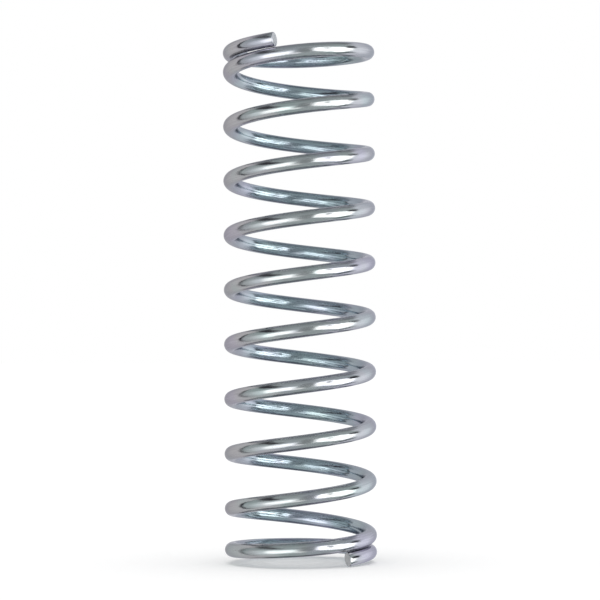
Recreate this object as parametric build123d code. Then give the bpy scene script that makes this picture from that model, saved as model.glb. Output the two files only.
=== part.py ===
from build123d import *

import os
from dataclasses import dataclass
from math import cos, pi, radians, sin, sqrt, tan

# Compression spring: one length of round wire in a right-hand coil, with a closed, unground turn at each end.
# Millimetres, +Z along the coil axis. The origin is on the axis, level with the lowest point of the wire.
# Places along the wire are counted in turns from its top end.

# Coil
wire_diameter = 1.83
outside_diameter = 19.05
free_length = 65.6
total_turns = 10.83
top_end_angle = 250.2  # of the wire's top end, in degrees anticlockwise from +X seen from above

# Closed ends. The wire end stands proud of its turn: it kicks out from the turn over the first stretch,
# the turn then runs nearly flat, and at last it climbs to the pitch of the open body.
seating_gap = 0.05  # between each wire end and the turn that it lies against
top_stand = 0.9
top_kick_turns = 0.31
top_closed_pitch = -1.12  # below zero, so the flat stretch leans back towards the end
top_climb_turns = 0.55
bottom_stand = 0.44
bottom_kick_turns = 0.16
bottom_closed_pitch = 0.67
bottom_climb_turns = 0.75

# Sheared wire ends: the top one is cut square, the bottom one at a slant that leaves its outer side longer
bottom_cut_slant = 18.0
edge_break = 0.12

# Construction: each span of the centre line is two tangent arcs
spans_per_turn = 6
pitch_corrections = 12

wire_radius = wire_diameter / 2
coil_radius = (outside_diameter - wire_diameter) / 2
wire_lift = wire_diameter + seating_gap  # axial distance from a wire end to its neighbour one turn on


@dataclass(frozen=True)
class ClosedEnd:
    """One closed end of the coil, as the axial distance of the wire centre from where the wire ends."""

    stand: float
    kick_turns: float
    closed_pitch: float
    climb_turns: float

    def climb_start(self, pitch):
        """Turns from the wire end to the climb, which puts the turn one wire lift up when it comes round."""
        rise = wire_lift - self.stand - self.closed_pitch * (1 - self.kick_turns)
        return 1 - sqrt(2 * self.climb_turns * rise / (pitch - self.closed_pitch))

    def height(self, turns, pitch):
        """Axial distance, this many turns along from the wire end, into a body of this pitch."""
        past_start = max(turns - self.climb_start(pitch), 0)
        in_climb = min(past_start, self.climb_turns)
        steepening = in_climb**2 / (2 * self.climb_turns) + past_start - in_climb
        kick = self.stand * (1 - (1 - min(turns / self.kick_turns, 1)) ** 2)
        flat = self.closed_pitch * max(turns - self.kick_turns, 0)
        return kick + flat + (pitch - self.closed_pitch) * steepening


top_end = ClosedEnd(top_stand, top_kick_turns, top_closed_pitch, top_climb_turns)
bottom_end = ClosedEnd(bottom_stand, bottom_kick_turns, bottom_closed_pitch, bottom_climb_turns)


def find_body_pitch():
    """Axial advance of one open turn, corrected until the two ends meet halfway along the wire."""
    pitch = free_length / total_turns
    for _ in range(pitch_corrections):
        reached = top_end.height(total_turns / 2, pitch) + bottom_end.height(total_turns / 2, pitch)
        pitch += (free_length - wire_diameter - reached) / (total_turns - 2)
    return pitch


body_pitch = find_body_pitch()


def centre_point(turns):
    """Point of the wire's centre line."""
    angle = radians(top_end_angle) - 2 * pi * turns
    if turns < total_turns / 2:
        height = free_length - wire_radius - top_end.height(turns, body_pitch)
    else:
        height = wire_radius + bottom_end.height(total_turns - turns, body_pitch)
    return Vector(coil_radius * cos(angle), coil_radius * sin(angle), height)


def direction(turns):
    """Unit vector along the wire, down the coil."""
    step = 0.0001
    return (centre_point(turns + step) - centre_point(turns - step)).normalized()


def tangent_arcs(start, end):
    """Two arcs from one place on the wire to another, tangent to the wire there and to each other."""
    first = centre_point(start)
    last = centre_point(end)
    out = direction(start)
    back = direction(end)
    chord = last - first
    along = chord.dot(out + back)
    bend = 2 * (1 - out.dot(back))
    reach = (sqrt(along**2 + bend * chord.dot(chord)) - along) / bend
    corner_out = first + out * reach
    corner_back = last - back * reach
    meeting = (corner_out + corner_back) / 2
    return [
        TangentArc(first, meeting, tangent=out),
        TangentArc(meeting, last, tangent=corner_back - corner_out),
    ]


def wire_along(start, end, span_count):
    """Round wire from one place on the centre line to another, cut square at both."""
    span = (end - start) / span_count
    arcs = []
    for i in range(span_count):
        arcs += tangent_arcs(start + i * span, start + (i + 1) * span)
    section = Plane(origin=centre_point(start), z_dir=direction(start)) * Circle(wire_radius)
    return sweep(section, path=Wire(arcs))


def slanted_tip(start):
    """Last stretch of the wire at the bottom, made overlong and then cut at a slant."""
    overrun = wire_radius * tan(radians(bottom_cut_slant)) / (pi * coil_radius)
    stretch = wire_along(start, total_turns + overrun, 1)
    facing = direction(total_turns).rotate(Axis.Z, -bottom_cut_slant)
    cut = Plane(origin=centre_point(total_turns), z_dir=facing)
    return split(stretch, bisect_by=cut, keep=Keep.BOTTOM)


def compression_spring():
    """Whole wound wire, with the sharp edges of its two cut ends rounded."""
    span_count = round(total_turns * spans_per_turn)
    tip_start = total_turns * (1 - 1 / span_count)
    wire = wire_along(0, tip_start, span_count - 1) + slanted_tip(tip_start)
    cut_faces = wire.faces().filter_by(GeomType.PLANE)
    return fillet(cut_faces.edges(), edge_break)


os.makedirs("parts", exist_ok=True)
export_step(compression_spring(), "parts/compression_spring.step")
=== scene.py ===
"""A zinc-plated compression spring: its wound wire, the finish on it, and a small pale studio."""

import logging
from dataclasses import dataclass, field
from enum import Enum
from math import degrees, pi, radians, sqrt, tan

import bpy
import numpy as np
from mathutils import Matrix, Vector


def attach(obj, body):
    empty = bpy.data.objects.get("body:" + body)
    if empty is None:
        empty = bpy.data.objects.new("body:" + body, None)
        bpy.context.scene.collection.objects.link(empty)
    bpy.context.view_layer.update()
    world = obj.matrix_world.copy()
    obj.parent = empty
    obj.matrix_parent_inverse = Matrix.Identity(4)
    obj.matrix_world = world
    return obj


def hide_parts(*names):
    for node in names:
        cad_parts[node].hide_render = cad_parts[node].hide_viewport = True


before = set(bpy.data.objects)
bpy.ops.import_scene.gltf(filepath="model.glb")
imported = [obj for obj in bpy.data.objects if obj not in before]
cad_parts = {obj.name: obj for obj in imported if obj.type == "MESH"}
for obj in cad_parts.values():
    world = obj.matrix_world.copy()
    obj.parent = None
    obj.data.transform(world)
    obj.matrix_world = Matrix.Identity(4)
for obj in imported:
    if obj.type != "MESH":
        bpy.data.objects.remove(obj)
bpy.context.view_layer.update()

log = logging.getLogger("spring")

MILLIMETRE = 0.001
CAD_NODE = "compression_spring"
BODY = "root"
PLACE_ATTRIBUTE = "wire_place"
WHITE = (1.0, 1.0, 1.0, 1.0)
BUMP_STRENGTH = 0.5


class Face(Enum):
    """Material slot of a face of the wire."""

    PLATED = 0
    CUT = 1


@dataclass(frozen=True)
class ClosedEnd:
    """One closed end of the coil, as the axial distance of the wire centre from where the wire ends.

    The end kicks out from its turn over the first stretch, the turn then runs nearly flat, and at last it
    climbs to the pitch of the open body.
    """

    stand: float
    kick_turns: float
    closed_pitch: float
    climb_turns: float

    def climb_start(self, pitch: float, wire_lift: float) -> float:
        """Turns from the wire end to the climb.

        Args:
            pitch: axial advance of one turn of the open body.
            wire_lift: axial distance from the wire end to its neighbour one turn on.

        Returns:
            The place from which the turn gains exactly one wire lift by the time it comes round.
        """
        rise = wire_lift - self.stand - self.closed_pitch * (1 - self.kick_turns)
        return 1 - sqrt(2 * self.climb_turns * rise / (pitch - self.closed_pitch))

    def height(self, turns: np.ndarray, pitch: float, wire_lift: float) -> np.ndarray:
        """Axial distance of the wire centre from where the wire ends.

        Formula: a parabola up to the stand over the kick, plus the closed pitch times the turns after it,
        plus the difference of the two pitches times a ramp that starts at the climb and steepens over it.

        Args:
            turns: places along the wire, in turns from this end.
            pitch: axial advance of one turn of the open body.
            wire_lift: axial distance from the wire end to its neighbour one turn on.

        Returns:
            One distance for each place.
        """
        past_start = np.maximum(turns - self.climb_start(pitch, wire_lift), 0.0)
        in_climb = np.minimum(past_start, self.climb_turns)
        steepening = in_climb**2 / (2 * self.climb_turns) + past_start - in_climb
        kick = self.stand * (1 - (1 - np.clip(turns / self.kick_turns, None, 1.0)) ** 2)
        flat = self.closed_pitch * np.maximum(turns - self.kick_turns, 0.0)
        return kick + flat + (pitch - self.closed_pitch) * steepening


@dataclass(frozen=True)
class CoilPath:
    """Centre line of the wire: a right-hand coil with a closed, unground turn at each end."""

    wire_diameter: float = 1.83 * MILLIMETRE
    outside_diameter: float = 19.05 * MILLIMETRE
    free_length: float = 65.6 * MILLIMETRE
    total_turns: float = 10.83
    top_end_angle: float = radians(250.2)
    seating_gap: float = 0.05 * MILLIMETRE
    top_end: ClosedEnd = ClosedEnd(0.9 * MILLIMETRE, 0.31, -1.12 * MILLIMETRE, 0.55)
    bottom_end: ClosedEnd = ClosedEnd(0.44 * MILLIMETRE, 0.16, 0.67 * MILLIMETRE, 0.75)
    closed_turns: float = 2.0
    pitch_corrections: int = 12

    @property
    def wire_radius(self) -> float:
        """Half the wire's diameter."""
        return self.wire_diameter / 2

    @property
    def coil_radius(self) -> float:
        """Distance of the wire's centre from the coil axis."""
        return (self.outside_diameter - self.wire_diameter) / 2

    @property
    def wire_lift(self) -> float:
        """Axial distance from a wire end to its neighbour one turn on."""
        return self.wire_diameter + self.seating_gap

    def body_pitch(self) -> float:
        """Axial advance of one open turn.

        Returns:
            The pitch at which the coil, followed from both ends, meets halfway along the wire.
        """
        half = self.total_turns / 2
        pitch = self.free_length / self.total_turns
        for _ in range(self.pitch_corrections):
            reached = self.top_end.height(half, pitch, self.wire_lift)
            reached += self.bottom_end.height(half, pitch, self.wire_lift)
            missing = self.free_length - self.wire_diameter - float(reached)
            pitch += missing / (self.total_turns - self.closed_turns)
        return pitch

    def centre(self, turns: np.ndarray) -> np.ndarray:
        """Points of the centre line.

        Formula: a circle of the coil radius, run clockwise seen from above, one round for each turn. On the
        first half of the wire the height is measured down from the top by the top end's height, and on the
        second half up from the floor by the bottom end's.

        Args:
            turns: places along the wire, in turns from its top end.

        Returns:
            Points, with x, y and z along the last axis.
        """
        pitch = self.body_pitch()
        angle = self.top_end_angle - 2 * pi * turns
        from_top = self.free_length - self.wire_radius - self.top_end.height(turns, pitch, self.wire_lift)
        to_bottom = self.total_turns - turns
        from_floor = self.wire_radius + self.bottom_end.height(to_bottom, pitch, self.wire_lift)
        height = np.where(turns < self.total_turns / 2, from_top, from_floor)
        return np.stack([self.coil_radius * np.cos(angle), self.coil_radius * np.sin(angle), height], -1)

    def along(self, turns: np.ndarray) -> np.ndarray:
        """Unit vectors along the wire, down the coil, by the difference of two near points."""
        step = 1e-4
        chord = self.centre(turns + step) - self.centre(turns - step)
        return chord / np.linalg.norm(chord, axis=-1, keepdims=True)

    def outward(self, turns: np.ndarray) -> np.ndarray:
        """Unit vectors from the coil axis to the wire, level with it."""
        angle = self.top_end_angle - 2 * pi * turns
        return np.stack([np.cos(angle), np.sin(angle), np.zeros_like(angle)], -1)


@dataclass
class SpringWire:
    """The wound wire as one closed surface, with its two sheared ends."""

    path: CoilPath = field(default_factory=CoilPath)
    rings_per_turn: int = 150
    points_round: int = 44
    surface_inset: float = 0.006 * MILLIMETRE
    edge_break: float = 0.12 * MILLIMETRE
    break_rings: int = 5
    cap_rings: int = 7
    bottom_cut_slant: float = radians(18.0)
    slant_turns: float = 0.03

    def profile(self) -> tuple[np.ndarray, np.ndarray, np.ndarray]:
        """The rows of the surface, from the middle of the top cut face to the middle of the bottom one.

        Formula: on a cut face the radius grows from nothing to the wire radius less the edge break; over the
        edge break a quarter circle brings it to the wire radius; from there it stays, to the other end. The
        share is nothing along the wire and rises smoothly to one over the last stretch before the edge break.

        Returns:
            For each row, its place in turns, its radius, and its share of the bottom cut's slant.
        """
        path = self.path
        turn_length = 2 * pi * path.coil_radius
        radius = path.wire_radius - self.surface_inset
        quarter = np.linspace(0, pi / 2, self.break_rings)
        break_turns = self.edge_break / turn_length
        cap = np.linspace(0, 1, self.cap_rings)[1:-1] * (radius - self.edge_break)
        edge_radius = radius - self.edge_break * (1 - np.sin(quarter))
        edge_turns = break_turns * (1 - np.cos(quarter))
        last = path.total_turns
        middle = np.linspace(break_turns, last - break_turns, round(last * self.rings_per_turn))[1:-1]
        rows = np.concatenate(
            [np.zeros(len(cap)), edge_turns, middle, last - edge_turns[::-1], np.full(len(cap), last)]
        )
        wall = np.full(len(middle), radius)
        radii = np.concatenate([cap, edge_radius, wall, edge_radius[::-1], cap[::-1]])
        share = np.clip((rows - (last - self.slant_turns)) / (self.slant_turns - break_turns), 0, 1)
        return rows, radii, share * share * (3 - 2 * share)

    def surface(self) -> tuple[np.ndarray, np.ndarray]:
        """Points of the wire's surface on a grid of rows along it and places round it.

        Formula: centre of the wire, plus the row's radius times the cosine of the angle outward from the
        coil axis, plus the radius times its sine square to that and to the wire. Near the bottom cut each
        point also runs on along the wire by its outward offset times the tangent of the slant.

        Returns:
            The points, and for each its place on the straightened wire: outward, up, and distance along.
        """
        path = self.path
        rows, radii, share = self.profile()
        around = np.linspace(0, 2 * pi, self.points_round, endpoint=False)
        out_offset = radii[:, None] * np.cos(around)
        up_offset = radii[:, None] * np.sin(around)
        run_on = share[:, None] * out_offset * tan(self.bottom_cut_slant)
        turns = rows[:, None] + run_on / (2 * pi * (path.coil_radius + out_offset))
        outward = path.outward(turns)
        upward = np.cross(outward, path.along(turns))
        points = path.centre(turns)
        points = points + out_offset[..., None] * outward + up_offset[..., None] * upward
        distance = turns * 2 * pi * path.coil_radius
        return points, np.stack([out_offset, up_offset, distance], -1)

    def build(self, name: str) -> bpy.types.Object:
        """Makes the wire's mesh.

        Args:
            name: the object's name.

        Returns:
            The object, at the origin, with the straightened place and a UV map on its mesh.
        """
        points, place = self.surface()
        row_count, round_count = points.shape[:2]
        grid = np.arange(row_count * round_count).reshape(row_count, round_count)
        here, there = grid[:-1], grid[1:]
        # Corners run anticlockwise seen from outside the wire, so that the faces point outwards.
        quads = np.stack([here, there, np.roll(there, -1, 1), np.roll(here, -1, 1)], -1).reshape(-1, 4)
        top_pole, bottom_pole = grid.size, grid.size + 1
        top_fan = np.stack([np.full(round_count, top_pole), grid[0], np.roll(grid[0], -1)], -1)
        bottom_fan = np.stack([np.full(round_count, bottom_pole), np.roll(grid[-1], -1), grid[-1]], -1)
        ends = self.path.centre(np.array([0.0, self.path.total_turns]))
        flat_points = np.concatenate([points.reshape(-1, 3), ends])
        length = 2 * pi * self.path.coil_radius * self.path.total_turns
        flat_place = np.concatenate([place.reshape(-1, 3), [[0, 0, 0], [0, 0, length]]])

        mesh = bpy.data.meshes.new(name)
        faces = quads.tolist() + top_fan.tolist() + bottom_fan.tolist()
        mesh.from_pydata(flat_points.tolist(), [], faces)
        # A cut face's middle is a pole, and its rim is the first row of the edge break.
        cut_rows = self.cap_rings - 2
        face_row = np.repeat(np.arange(row_count - 1), round_count)
        on_cut = (face_row < cut_rows) | (face_row >= row_count - 1 - cut_rows)
        slots = np.concatenate([on_cut, np.ones(2 * round_count, bool)]).astype(np.int32)
        mesh.polygons.foreach_set("material_index", slots * Face.CUT.value)
        mesh.polygons.foreach_set("use_smooth", np.ones(len(slots), bool))
        attribute = mesh.attributes.new(PLACE_ATTRIBUTE, "FLOAT_VECTOR", "POINT")
        attribute.data.foreach_set("vector", flat_place.astype(np.float32).ravel())
        self.unwrap(mesh, flat_place)
        mesh.validate()
        mesh.update()
        piece = bpy.data.objects.new(name, mesh)
        bpy.context.scene.collection.objects.link(piece)
        return piece

    def unwrap(self, mesh: bpy.types.Mesh, place: np.ndarray) -> None:
        """Lays the straightened wire out flat.

        Formula: u is the distance along the wire over its length, v the angle round it over a full circle.
        A face that crosses the seam has its low angles raised by a circle.

        Args:
            mesh: the wire's mesh.
            place: straightened place of each vertex.
        """
        loop_vertex = np.empty(len(mesh.loops), np.int32)
        mesh.loops.foreach_get("vertex_index", loop_vertex)
        loop_start = np.empty(len(mesh.polygons), np.int32)
        mesh.polygons.foreach_get("loop_start", loop_start)
        turn = (np.arctan2(place[:, 1], place[:, 0]) / (2 * pi)) % 1.0
        u = place[loop_vertex, 2] / place[:, 2].max()
        v = turn[loop_vertex]
        highest = np.maximum.reduceat(v, loop_start)
        corner_count = np.diff(np.append(loop_start, len(v)))
        v = np.where(np.repeat(highest, corner_count) - v > 0.5, v + 1.0, v)
        layer = mesh.uv_layers.new(name="along_and_round")
        layer.data.foreach_set("uv", np.stack([u, v], -1).astype(np.float32).ravel())


class NodeBoard:
    """A node tree with short ways to add and join nodes."""

    def __init__(self, tree: bpy.types.NodeTree) -> None:
        """Empties the tree and keeps it."""
        tree.nodes.clear()
        self.tree = tree

    def add(self, kind: str, **settings: object) -> bpy.types.Node:
        """Adds a node.

        Args:
            kind: the node's Blender type name.
            **settings: its properties.

        Returns:
            The node.
        """
        node = self.tree.nodes.new(kind)
        for name, value in settings.items():
            setattr(node, name, value)
        return node

    def join(self, source: bpy.types.NodeSocket, target: bpy.types.NodeSocket) -> None:
        """Links an output to an input."""
        self.tree.links.new(source, target)

    def feed(self, target: bpy.types.NodeSocket, value: object) -> None:
        """Links a socket to an input, or sets a plain value on it."""
        if isinstance(value, bpy.types.NodeSocket):
            self.join(value, target)
        else:
            target.default_value = value

    def maths(self, operation: str, first: object, second: object = 0.0,
              clamp: bool = False) -> bpy.types.NodeSocket:
        """Adds a Math node.

        Args:
            operation: the node's operation.
            first: a socket or a number.
            second: a socket or a number.
            clamp: whether the result is kept from 0 to 1.

        Returns:
            Its output.
        """
        node = self.add("ShaderNodeMath", operation=operation, use_clamp=clamp)
        self.feed(node.inputs[0], first)
        self.feed(node.inputs[1], second)
        return node.outputs[0]

    def blend(self, factor: object, first: object, second: object,
              way: str = "MIX") -> bpy.types.NodeSocket:
        """Adds a colour Mix node.

        Args:
            factor: share of the second colour.
            first: a socket or a colour.
            second: a socket or a colour.
            way: the blend type.

        Returns:
            The mixed colour.
        """
        node = self.add("ShaderNodeMix", data_type="RGBA", blend_type=way, clamp_factor=True)
        self.feed(node.inputs["Factor"], factor)
        sockets = [socket for socket in node.inputs if socket.type == "RGBA"]
        self.feed(sockets[0], first)
        self.feed(sockets[1], second)
        return [socket for socket in node.outputs if socket.type == "RGBA"][0]

    def remap(self, value: object, low: float, high: float, to_low: float, to_high: float,
              smooth: bool = False) -> bpy.types.NodeSocket:
        """Adds a Map Range node.

        Args:
            value: the number to map.
            low: start of its range.
            high: end of its range.
            to_low: result at the start.
            to_high: result at the end.
            smooth: whether the passage is eased.

        Returns:
            The mapped number, kept in the new range.
        """
        node = self.add("ShaderNodeMapRange", interpolation_type="SMOOTHSTEP" if smooth else "LINEAR")
        for index, number in enumerate((value, low, high, to_low, to_high)):
            self.feed(node.inputs[index], number)
        return node.outputs[0]

    def noise(self, vector: bpy.types.NodeSocket, scale: float, detail: float,
              roughness: float) -> bpy.types.NodeSocket:
        """Adds a Noise Texture.

        Args:
            vector: coordinates, in metres.
            scale: features per metre.
            detail: octaves.
            roughness: weight of the finer octaves.

        Returns:
            Its factor, about 0.5 on average.
        """
        node = self.add("ShaderNodeTexNoise")
        self.join(vector, node.inputs["Vector"])
        self.feed(node.inputs["Scale"], scale)
        self.feed(node.inputs["Detail"], detail)
        self.feed(node.inputs["Roughness"], roughness)
        return node.outputs["Fac"]

    def stretch(self, vector: bpy.types.NodeSocket,
                scale: tuple[float, float, float]) -> bpy.types.NodeSocket:
        """Scales a vector part by part."""
        node = self.add("ShaderNodeVectorMath", operation="MULTIPLY")
        self.join(vector, node.inputs[0])
        node.inputs[1].default_value = scale
        return node.outputs[0]

    def metal(self, colour: bpy.types.NodeSocket, roughness: bpy.types.NodeSocket,
              height: bpy.types.NodeSocket, depth: float,
              edge_tint: tuple[float, float, float, float] = WHITE) -> None:
        """Joins a metallic shader with a bump to the material's output.

        Args:
            colour: base colour.
            roughness: roughness.
            height: height of the bump, as a multiple of the depth.
            depth: the bump's distance, in metres.
            edge_tint: tint at grazing angles.
        """
        bump = self.add("ShaderNodeBump")
        bump.inputs["Strength"].default_value = BUMP_STRENGTH
        bump.inputs["Distance"].default_value = depth
        self.join(height, bump.inputs["Height"])
        shader = self.add("ShaderNodeBsdfPrincipled")
        self.join(colour, shader.inputs["Base Color"])
        shader.inputs["Metallic"].default_value = 1.0
        shader.inputs["Specular Tint"].default_value = edge_tint
        self.join(roughness, shader.inputs["Roughness"])
        self.join(bump.outputs[0], shader.inputs["Normal"])
        output = self.add("ShaderNodeOutputMaterial")
        self.join(shader.outputs[0], output.inputs["Surface"])


@dataclass(frozen=True)
class Ramp:
    """Passage from one value to another as an input crosses a range."""

    low: float
    high: float
    to_low: float
    to_high: float
    smooth: bool = False

    def on(self, board: NodeBoard, value: object) -> bpy.types.NodeSocket:
        """Adds the passage for a socket or a number."""
        return board.remap(value, self.low, self.high, self.to_low, self.to_high, smooth=self.smooth)


@dataclass(frozen=True)
class Grain:
    """Noise whose features are drawn out along each part of the place that the stretch makes smaller."""

    scale: float
    detail: float
    roughness: float
    stretch: tuple[float, float, float] = (1.0, 1.0, 1.0)

    def on(self, board: NodeBoard, place: bpy.types.NodeSocket) -> bpy.types.NodeSocket:
        """Adds the noise at a place."""
        return board.noise(board.stretch(place, self.stretch), self.scale, self.detail, self.roughness)


@dataclass(frozen=True)
class ZincPlate:
    """Bright zinc plating with a clear blue passivation, over drawn wire, with painted shade and a painted
    bluish reflection on the coil's inner side.
    """

    outer_colour: tuple[float, float, float, float] = (0.52, 0.52, 0.525, 1.0)
    # Painted shade and painted bluish reflection: the inner side of the coil is darker and bluer than the
    # outer side.
    inner_shade_and_reflection_colour: tuple[float, float, float, float] = (0.41, 0.475, 0.52, 1.0)
    film_violet: tuple[float, float, float, float] = (0.53, 0.49, 0.61, 1.0)
    film_green: tuple[float, float, float, float] = (0.47, 0.56, 0.54, 1.0)
    pit_colour: tuple[float, float, float, float] = (0.16, 0.17, 0.18, 1.0)
    edge_tint: tuple[float, float, float, float] = (0.60, 0.60, 0.63, 1.0)
    # Share of the painted inner shade and reflection: full on the wire's inner side, weaker towards -X of the
    # coil.
    inner_shade_by_outward_offset: Ramp = Ramp(-0.0006, 0.0004, 1.0, 0.0, smooth=True)
    inner_shade_strength_by_x: Ramp = Ramp(-0.0078, -0.0045, 0.25, 1.0, smooth=True)
    film: Grain = Grain(150.0, 2.0, 0.5)
    violet_by_film: Ramp = Ramp(0.53, 0.66, 0.0, 0.42)
    green_by_film: Ramp = Ramp(0.47, 0.34, 0.0, 0.5)
    streaks: Grain = Grain(9000.0, 3.0, 0.6, (1.0, 1.0, 0.03))
    die_lines: Grain = Grain(4600.0, 2.0, 0.55, (1.0, 1.0, 0.012))
    swell: Grain = Grain(1700.0, 3.0, 0.5, (1.0, 1.0, 0.2))
    specks: Grain = Grain(5200.0, 2.0, 0.5)
    shade_by_streaks: Ramp = Ramp(0.3, 0.7, 0.9, 1.06)
    pits_by_specks: Ramp = Ramp(0.69, 0.76, 0.0, 0.55)
    roughness_by_swell: Ramp = Ramp(0.35, 0.68, 0.10, 0.24)
    die_line_height: float = 0.32
    streak_height: float = 0.12
    speck_height: float = 0.06
    bump_depth: float = 0.06 * MILLIMETRE

    def make(self, name: str) -> bpy.types.Material:
        """Builds the material.

        Args:
            name: the material's name.

        Returns:
            The material.
        """
        material = bpy.data.materials.new(name)
        material.use_nodes = True
        board = NodeBoard(material.node_tree)
        place = board.add("ShaderNodeAttribute", attribute_name=PLACE_ATTRIBUTE).outputs["Vector"]
        where = board.add("ShaderNodeTexCoord").outputs["Object"]
        parts = board.add("ShaderNodeSeparateXYZ")
        board.join(place, parts.inputs[0])

        side = board.add("ShaderNodeSeparateXYZ")
        board.join(where, side.inputs[0])

        # Painted shade and painted bluish reflection on the coil's inner side, weaker towards -X.
        inner = self.inner_shade_by_outward_offset.on(board, parts.outputs["X"])
        strength = self.inner_shade_strength_by_x.on(board, side.outputs["X"])
        inner_shade_share = board.maths("MULTIPLY", inner, strength)
        colour = board.blend(inner_shade_share, self.outer_colour, self.inner_shade_and_reflection_colour)
        film = self.film.on(board, where)
        colour = board.blend(self.violet_by_film.on(board, film), colour, self.film_violet)
        colour = board.blend(self.green_by_film.on(board, film), colour, self.film_green)

        streaks = self.streaks.on(board, place)
        die_lines = self.die_lines.on(board, place)
        swell = self.swell.on(board, place)
        specks = self.specks.on(board, place)
        colour = board.blend(1.0, colour, self.shade_by_streaks.on(board, streaks), way="MULTIPLY")
        colour = board.blend(self.pits_by_specks.on(board, specks), colour, self.pit_colour)

        height = board.maths("ADD", swell, board.maths("MULTIPLY", die_lines, self.die_line_height))
        height = board.maths("ADD", height, board.maths("MULTIPLY", streaks, self.streak_height))
        height = board.maths("ADD", height, board.maths("MULTIPLY", specks, self.speck_height))
        roughness = self.roughness_by_swell.on(board, swell)
        board.metal(colour, roughness, height, self.bump_depth, self.edge_tint)
        return material


@dataclass(frozen=True)
class ShearedCut:
    """Plated face left by the shear that cut the wire: fine parallel drag marks over a duller ground."""

    colour: tuple[float, float, float, float] = (0.56, 0.56, 0.56, 1.0)
    marks: Grain = Grain(16000.0, 2.0, 0.6, (1.0, 0.12, 1.0))
    grain: Grain = Grain(7000.0, 3.0, 0.6)
    shade_by_grain: Ramp = Ramp(0.3, 0.7, 0.86, 1.08)
    roughness_by_grain: Ramp = Ramp(0.3, 0.7, 0.5, 0.66)
    bump_depth: float = 0.05 * MILLIMETRE

    def make(self, name: str) -> bpy.types.Material:
        """Builds the material.

        Args:
            name: the material's name.

        Returns:
            The material.
        """
        material = bpy.data.materials.new(name)
        material.use_nodes = True
        board = NodeBoard(material.node_tree)
        place = board.add("ShaderNodeAttribute", attribute_name=PLACE_ATTRIBUTE).outputs["Vector"]
        grain = self.grain.on(board, place)
        colour = board.blend(1.0, self.colour, self.shade_by_grain.on(board, grain), way="MULTIPLY")
        height = board.maths("ADD", self.marks.on(board, place), grain)
        board.metal(colour, self.roughness_by_grain.on(board, grain), height, self.bump_depth)
        return material


@dataclass(frozen=True)
class Patch:
    """A soft-edged patch of the surroundings, such as a softbox or a dark gap, that the plating reflects.

    Azimuth 0 is in front of the object, towards -Y, and grows towards +X. All angles are in degrees.
    """

    azimuth: float
    elevation: float
    half_width: float
    half_height: float
    radiance: tuple[float, float, float, float]
    edge: float = 0.15
    slope: float = 0.0
    strength: float = 1.0
    corner_power: float = 4.0

    def mask(self, board: NodeBoard, azimuth: bpy.types.NodeSocket,
             elevation: bpy.types.NodeSocket) -> bpy.types.NodeSocket:
        """Share of the patch in a direction.

        Formula: the two offsets, each over its half size, are raised to the corner power and added, and the
        root of that power is taken. It is 1 on a rounded rectangle, and the share falls from the patch's
        strength to nothing across it, over the edge's width. A slope tilts the patch.

        Args:
            board: the world's node tree.
            azimuth: azimuth of the direction.
            elevation: elevation of the direction.

        Returns:
            A number from 0 to 1.
        """
        across = board.maths("SUBTRACT", azimuth, self.azimuth)
        up = board.maths("SUBTRACT", elevation, self.elevation)
        up = board.maths("SUBTRACT", up, board.maths("MULTIPLY", across, self.slope))
        across = board.maths("ABSOLUTE", board.maths("DIVIDE", across, self.half_width))
        up = board.maths("ABSOLUTE", board.maths("DIVIDE", up, self.half_height))
        across = board.maths("POWER", across, self.corner_power)
        up = board.maths("POWER", up, self.corner_power)
        reach = board.maths("POWER", board.maths("ADD", across, up), 1 / self.corner_power)
        return board.remap(reach, 1.0 - self.edge, 1.0 + self.edge, self.strength, 0.0, smooth=True)


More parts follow.
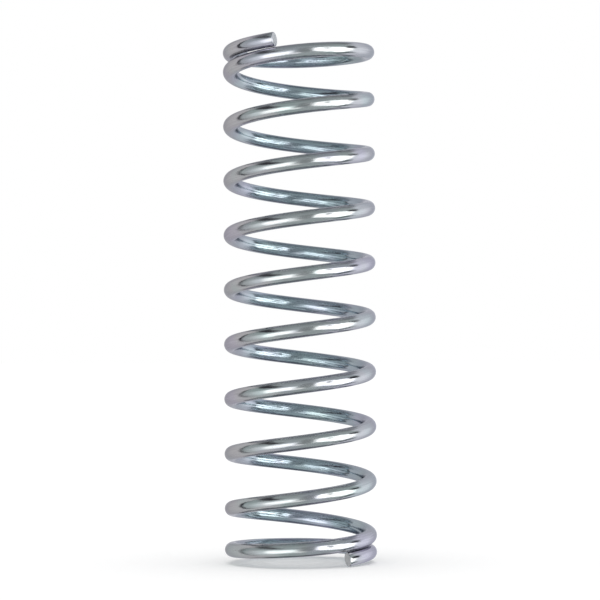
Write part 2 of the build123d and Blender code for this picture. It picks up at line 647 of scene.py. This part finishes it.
@dataclass(frozen=True)
class Surroundings:
    """What stands round the object: a white sweep behind it, two softboxes in front, and the dim room."""

    lower_room: tuple[float, float, float, float] = (0.50, 0.57, 0.58, 1.0)
    upper_room: tuple[float, float, float, float] = (0.35, 0.40, 0.41, 1.0)
    left_sweep: tuple[float, float, float, float] = (0.77, 0.76, 0.78, 1.0)
    right_sweep: tuple[float, float, float, float] = (0.88, 0.91, 1.0, 1.0)
    sweep_gap: tuple[float, float, float, float] = (0.28, 0.30, 0.32, 1.0)
    upper_room_by_elevation: Ramp = Ramp(40.0, 75.0, 0.0, 1.0, smooth=True)
    behind_by_azimuth: Ramp = Ramp(99.0, 105.0, 0.0, 1.0)
    right_sweep_by_x: Ramp = Ramp(-0.4, 0.4, 0.0, 1.0, smooth=True)
    sweep_under_top: Ramp = Ramp(42.0, 52.0, 1.0, 0.0, smooth=True)
    sweep_over_foot: Ramp = Ramp(-68.0, -58.0, 0.0, 1.0, smooth=True)
    gap_under_top: Ramp = Ramp(60.0, 74.0, 1.0, 0.0, smooth=True)
    gap_over_foot: Ramp = Ramp(-76.0, -66.0, 0.0, 1.0, smooth=True)
    patches: tuple[Patch, ...] = (
        # Low glow on the left
        Patch(-84.0, -56.0, 44.0, 22.0, (0.72, 0.74, 0.76, 1.0), edge=0.35),
        # Panel on the left
        Patch(-82.0, -21.0, 19.0, 27.0, (0.60, 0.65, 0.67, 1.0), edge=0.3),
        # Bright right edge of the sweep
        Patch(108.0, -5.0, 24.0, 24.0, (1.25, 1.30, 1.40, 1.0), edge=0.6, strength=0.8),
        # Dim place of the camera
        Patch(9.0, 8.0, 12.0, 34.0, (0.36, 0.40, 0.41, 1.0), edge=0.3),
        # Soft rim of the left softbox
        Patch(-42.0, -13.0, 35.0, 27.0, (0.95, 1.04, 1.07, 1.0), edge=0.35, slope=0.2),
        # Small low light in front
        Patch(-2.0, -31.0, 9.0, 9.0, (1.3, 1.35, 1.35, 1.0), edge=0.5),
        # Left softbox
        Patch(-32.0, -16.0, 24.0, 21.5, (2.1, 2.2, 2.2, 1.0), edge=0.25, slope=0.12),
        # Right softbox
        Patch(57.0, -3.0, 34.0, 30.0, (2.6, 2.7, 2.7, 1.0), edge=0.12, slope=-0.25),
        # Notch in the right softbox
        Patch(44.0, 13.0, 5.0, 11.0, (0.28, 0.31, 0.31, 1.0), edge=0.4, slope=-0.6, strength=0.9),
        # Dark band over the left softbox
        Patch(-69.0, 41.0, 34.0, 10.0, (0.06, 0.06, 0.07, 1.0), edge=0.35, slope=-0.42),
        # Dark gap on the right
        Patch(90.0, 20.0, 11.0, 9.0, (0.02, 0.02, 0.03, 1.0), edge=0.35),
        # Dim foot of the sweep on the right
        Patch(102.0, -42.0, 12.0, 13.0, (0.16, 0.20, 0.21, 1.0), edge=0.4),
        # Dark line at the left side of the sweep
        Patch(-102.0, -8.0, 4.0, 42.0, (0.04, 0.04, 0.05, 1.0), edge=0.5),
        # Dark foot behind, left half
        Patch(-180.0, -62.0, 34.0, 15.0, (0.14, 0.15, 0.17, 1.0), edge=0.3),
        # Dark foot behind, right half
        Patch(180.0, -60.0, 40.0, 16.0, (0.14, 0.15, 0.17, 1.0), edge=0.3),
    )

    def colour(self, board: NodeBoard) -> bpy.types.NodeSocket:
        """Radiance in the direction looked at.

        Formula: azimuth is the angle whose tangent is x over minus y, elevation the one whose sine is z. The
        room dims upwards. The sweep covers the back between its two heights, with a dim gap above and below
        it. Then come the patches, one over another.

        Args:
            board: the world's node tree.

        Returns:
            The colour.
        """
        parts = board.add("ShaderNodeSeparateXYZ")
        board.join(board.add("ShaderNodeTexCoord").outputs["Generated"], parts.inputs[0])
        forward = board.maths("MULTIPLY", parts.outputs["Y"], -1.0)
        azimuth = board.maths("ARCTAN2", parts.outputs["X"], forward)
        azimuth = board.maths("MULTIPLY", azimuth, degrees(1.0))
        elevation = board.maths("MULTIPLY", board.maths("ARCSINE", parts.outputs["Z"]), degrees(1.0))
        upper = self.upper_room_by_elevation.on(board, elevation)
        room = board.blend(upper, self.lower_room, self.upper_room)
        side = self.right_sweep_by_x.on(board, parts.outputs["X"])
        sweep = board.blend(side, self.left_sweep, self.right_sweep)
        under_top = self.sweep_under_top.on(board, elevation)
        over_foot = self.sweep_over_foot.on(board, elevation)
        sweep = board.blend(board.maths("MULTIPLY", under_top, over_foot), self.sweep_gap, sweep)
        behind = self.behind_by_azimuth.on(board, board.maths("ABSOLUTE", azimuth))
        high = self.gap_under_top.on(board, elevation)
        low = self.gap_over_foot.on(board, elevation)
        behind = board.maths("MULTIPLY", behind, board.maths("MULTIPLY", high, low))
        colour = board.blend(behind, room, sweep)
        for patch in self.patches:
            colour = board.blend(patch.mask(board, azimuth, elevation), colour, patch.radiance)
        return colour


@dataclass
class Studio:
    """Pale floor, the surroundings that the plating reflects, a soft lamp and the camera."""

    floor_size: float = 8.0
    floor_colour: tuple[float, float, float, float] = (0.90, 0.90, 0.90, 1.0)
    floor_lift: float = 0.15
    plain_level: float = 0.55
    lamp_strength: float = 1.42
    lamp_spread: float = radians(70)
    camera_place: tuple[float, float, float] = (0.0, -0.3075, 0.0269)
    camera_pitch: float = radians(1.1145)
    camera_roll: float = 0.005005
    camera_lens: float = 147.106
    sensor_width: float = 36.0
    nearest_seen: float = 0.01
    farthest_seen: float = 20.0
    lamp_place: tuple[float, float, float] = (0.0, 0.0, 1.0)
    surroundings: Surroundings = field(default_factory=Surroundings)

    def build(self) -> None:
        """Sets up the whole studio."""
        self.build_floor()
        self.build_world()
        self.build_lamp()
        self.build_camera()

    def build_floor(self) -> None:
        """Lays the pale floor, which shows white to the camera but keeps the object's shadow."""
        half = self.floor_size / 2
        mesh = bpy.data.meshes.new("floor")
        corners = [(-half, -half, 0), (half, -half, 0), (half, half, 0), (-half, half, 0)]
        mesh.from_pydata(corners, [], [(0, 1, 2, 3)])
        material = bpy.data.materials.new("pale_floor")
        material.use_nodes = True
        board = NodeBoard(material.node_tree)
        rays = board.add("ShaderNodeLightPath")
        paint = board.add("ShaderNodeBsdfDiffuse")
        paint.inputs["Color"].default_value = self.floor_colour
        glow = board.add("ShaderNodeEmission")
        seen = board.maths("ADD", rays.outputs["Is Camera Ray"], rays.outputs["Is Glossy Ray"])
        seen = board.maths("ADD", seen, rays.outputs["Is Transmission Ray"])
        board.join(board.maths("MULTIPLY", seen, self.floor_lift), glow.inputs["Strength"])
        both = board.add("ShaderNodeAddShader")
        board.join(paint.outputs[0], both.inputs[0])
        board.join(glow.outputs[0], both.inputs[1])
        output = board.add("ShaderNodeOutputMaterial")
        board.join(both.outputs[0], output.inputs["Surface"])
        mesh.materials.append(material)
        floor = bpy.data.objects.new("floor", mesh)
        bpy.context.scene.collection.objects.link(floor)
        floor.visible_glossy = False

    def build_world(self) -> None:
        """White for the camera, the surroundings for reflections, and a plain level for other rays."""
        world = bpy.data.worlds.new("pale_studio")
        bpy.context.scene.world = world
        world.use_nodes = True
        world.cycles.sampling_method = "NONE"
        board = NodeBoard(world.node_tree)
        rays = board.add("ShaderNodeLightPath")
        clear = board.add("ShaderNodeBackground")
        clear.inputs["Color"].default_value = WHITE
        room = board.add("ShaderNodeBackground")
        board.join(self.surroundings.colour(board), room.inputs["Color"])
        plain = board.add("ShaderNodeBackground")
        plain.inputs["Color"].default_value = WHITE
        plain.inputs["Strength"].default_value = self.plain_level
        glossy = board.add("ShaderNodeMixShader")
        board.join(rays.outputs["Is Glossy Ray"], glossy.inputs[0])
        board.join(plain.outputs[0], glossy.inputs[1])
        board.join(room.outputs[0], glossy.inputs[2])
        seen = board.add("ShaderNodeMixShader")
        camera, transmission = rays.outputs["Is Camera Ray"], rays.outputs["Is Transmission Ray"]
        board.join(board.maths("ADD", camera, transmission, clamp=True), seen.inputs[0])
        board.join(glossy.outputs[0], seen.inputs[1])
        board.join(clear.outputs[0], seen.inputs[2])
        output = board.add("ShaderNodeOutputWorld")
        board.join(seen.outputs[0], output.inputs["Surface"])

    def build_lamp(self) -> None:
        """Hangs one broad soft lamp overhead, for the floor's shadow."""
        data = bpy.data.lights.new("overhead_lamp", "SUN")
        data.angle = self.lamp_spread
        data.energy = self.lamp_strength
        lamp = bpy.data.objects.new("overhead_lamp", data)
        lamp.location = self.lamp_place
        lamp.visible_glossy = False
        bpy.context.scene.collection.objects.link(lamp)

    def build_camera(self) -> None:
        """Stands the camera in front of the object, looking slightly up."""
        data = bpy.data.cameras.new("camera")
        data.lens = self.camera_lens
        data.sensor_width = self.sensor_width
        data.clip_start = self.nearest_seen
        data.clip_end = self.farthest_seen
        camera = bpy.data.objects.new("camera", data)
        camera.location = self.camera_place
        camera.rotation_euler = (pi / 2 + self.camera_pitch, self.camera_roll, 0)
        bpy.context.scene.collection.objects.link(camera)
        bpy.context.scene.camera = camera


def main() -> None:
    """Builds the spring and its studio."""
    logging.basicConfig(level=logging.INFO, format="%(name)s: %(message)s")
    bpy.context.scene.view_settings.view_transform = "Standard"
    wire = SpringWire()
    piece = wire.build("spring_wire")
    piece.data.materials.append(ZincPlate().make("zinc_plate"))
    piece.data.materials.append(ShearedCut().make("sheared_cut"))
    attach(piece, BODY)
    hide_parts(CAD_NODE)
    pitch = wire.path.body_pitch() / MILLIMETRE
    log.info("spring_wire: %d faces, pitch %.4f mm", len(piece.data.polygons), pitch)
    Studio().build()
    log.info("studio built")


if __name__ == "__main__":
    main()
